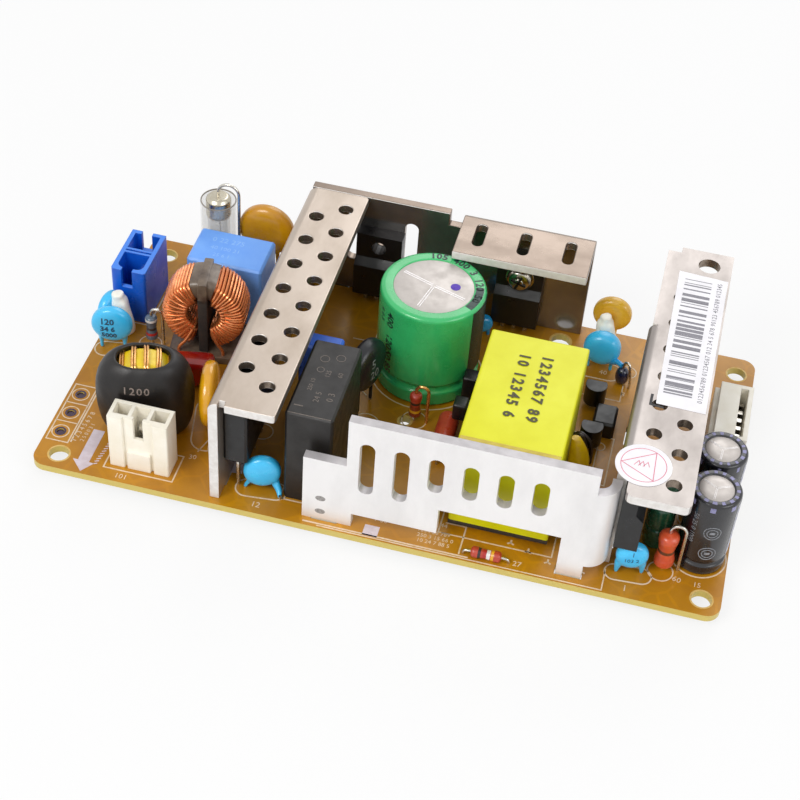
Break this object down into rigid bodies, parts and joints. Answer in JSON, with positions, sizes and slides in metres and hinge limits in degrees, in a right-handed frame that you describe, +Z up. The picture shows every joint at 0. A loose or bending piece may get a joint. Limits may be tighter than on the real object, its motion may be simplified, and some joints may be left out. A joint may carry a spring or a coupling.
{
  "type": "power supply board",
  "caption": "Open power supply board with folded aluminium heatsinks, wound chokes, a taped transformer, capacitors, a relay and connectors on a holed circuit board",
  "frame": {"origin": "centre of the rectangle of corner mounting holes, on the board's underside", "axes": "+X along the board toward the output connector, +Y toward the rear edge, +Z up from the component side"},
  "size_m": [0.1404, 0.0761, 0.0327],
  "materials": {
    "axial_diode": "dark blue body",
    "banded_resistor": "banded coating",
    "blue_header_housing": "blue moulding",
    "bridge_rectifier": "black moulded package",
    "bulk_capacitor_can": "scored aluminium top",
    "bulk_capacitor_sleeve": "green shrunk sleeve",
    "choke_core": "yellow coated ring",
    "choke_sleeve": "black shrunk sleeve",
    "choke_winding": "enamelled copper wire",
    "circuit_board": "ochre phenolic laminate with pale print",
    "component_leads": "tinned wire",
    "connector_pins": "tinned pins",
    "disc_capacitor_far_left": "light blue dipped coating",
    "disc_capacitor_front": "light blue dipped coating",
    "disc_capacitor_left": "light blue dipped coating",
    "disc_capacitor_rear": "light blue dipped coating",
    "disc_capacitor_right": "light blue dipped coating",
    "disc_capacitor_small": "light blue dipped coating",
    "filter_carrier": "brown insulating carrier",
    "filter_core": "dark ferrite",
    "filter_winding_left": "enamelled copper wire",
    "filter_winding_right": "enamelled copper wire",
    "front_heatsink": "bare sheet, satin",
    "fuse_caps": "plated end caps",
    "fuse_glass": "clear tube",
    "fuse_sleeve": "clear shrunk sleeve",
    "green_choke": "green sleeve",
    "heatsink_screw": "plated screw",
    "inlet_housing": "white nylon",
    "left_heatsink": "bare sheet, lightly brushed",
    "line_capacitor": "blue cast box",
    "loop_resistor": "red banded coating",
    "lying_resistor": "red banded coating",
    "ochre_disc_capacitor": "ochre dipped coating",
    "optocoupler": "black moulded package",
    "orange_resistor": "orange coating",
    "output_capacitor_front_can": "scored aluminium top",
    "output_capacitor_front_sleeve": "black shrunk sleeve",
    "output_capacitor_rear_can": "scored aluminium top",
    "output_capacitor_rear_sleeve": "black shrunk sleeve",
    "output_housing": "white nylon",
    "output_rectifier": "black moulded package",
    "power_resistor": "red coating",
    "power_switch_left": "black moulded package",
    "power_switch_right": "black moulded package",
    "rear_heatsink": "bare sheet, half polished",
    "red_film_capacitor": "red dipped coating",
    "relay": "black moulded case",
    "right_heatsink": "bare sheet, satin",
    "sealant_beads": "white cured sealant",
    "small_box_capacitor": "blue cast box",
    "small_transistors": "black moulded package",
    "solder_joints": "solder",
    "thermistor": "black coating",
    "transformer_bobbin": "black moulded bobbin",
    "transformer_core": "dark ferrite",
    "transformer_tape": "yellow film tape",
    "varistor_front": "amber dipped coating",
    "varistor_rear": "ochre dipped coating"
  },
  "bodies": {
    "root": {"axial_diode": "axial_diode", "banded_resistor": "banded_resistor", "blue_header_housing": "blue_header_housing", "bridge_rectifier": "bridge_rectifier", "bulk_capacitor_can": "bulk_capacitor_can", "bulk_capacitor_sleeve": "bulk_capacitor_sleeve", "choke_core": "choke_core", "choke_sleeve": "choke_sleeve", "choke_winding": "choke_winding", "circuit_board": "circuit_board", "component_leads": "component_leads", "connector_pins": "connector_pins", "disc_capacitor_far_left": "disc_capacitor_far_left", "disc_capacitor_front": "disc_capacitor_front", "disc_capacitor_left": "disc_capacitor_left", "disc_capacitor_rear": "disc_capacitor_rear", "disc_capacitor_right": "disc_capacitor_right", "disc_capacitor_small": "disc_capacitor_small", "filter_carrier": "filter_carrier", "filter_core": "filter_core", "filter_winding_left": "filter_winding_left", "filter_winding_right": "filter_winding_right", "front_heatsink": "front_heatsink", "fuse_caps": "fuse_caps", "fuse_glass": "fuse_glass", "fuse_sleeve": "fuse_sleeve", "green_choke": "green_choke", "heatsink_screw": "heatsink_screw", "inlet_housing": "inlet_housing", "left_heatsink": "left_heatsink", "line_capacitor": "line_capacitor", "loop_resistor": "loop_resistor", "lying_resistor": "lying_resistor", "ochre_disc_capacitor": "ochre_disc_capacitor", "optocoupler": "optocoupler", "orange_resistor": "orange_resistor", "output_capacitor_front_can": "output_capacitor_front_can", "output_capacitor_front_sleeve": "output_capacitor_front_sleeve", "output_capacitor_rear_can": "output_capacitor_rear_can", "output_capacitor_rear_sleeve": "output_capacitor_rear_sleeve", "output_housing": "output_housing", "output_rectifier": "output_rectifier", "power_resistor": "power_resistor", "power_switch_left": "power_switch_left", "power_switch_right": "power_switch_right", "rear_heatsink": "rear_heatsink", "red_film_capacitor": "red_film_capacitor", "relay": "relay", "right_heatsink": "right_heatsink", "sealant_beads": "sealant_beads", "small_box_capacitor": "small_box_capacitor", "small_transistors": "small_transistors", "solder_joints": "solder_joints", "thermistor": "thermistor", "transformer_bobbin": "transformer_bobbin", "transformer_core": "transformer_core", "transformer_tape": "transformer_tape", "varistor_front": "varistor_front", "varistor_rear": "varistor_rear"}
  },
  "joints": []
}
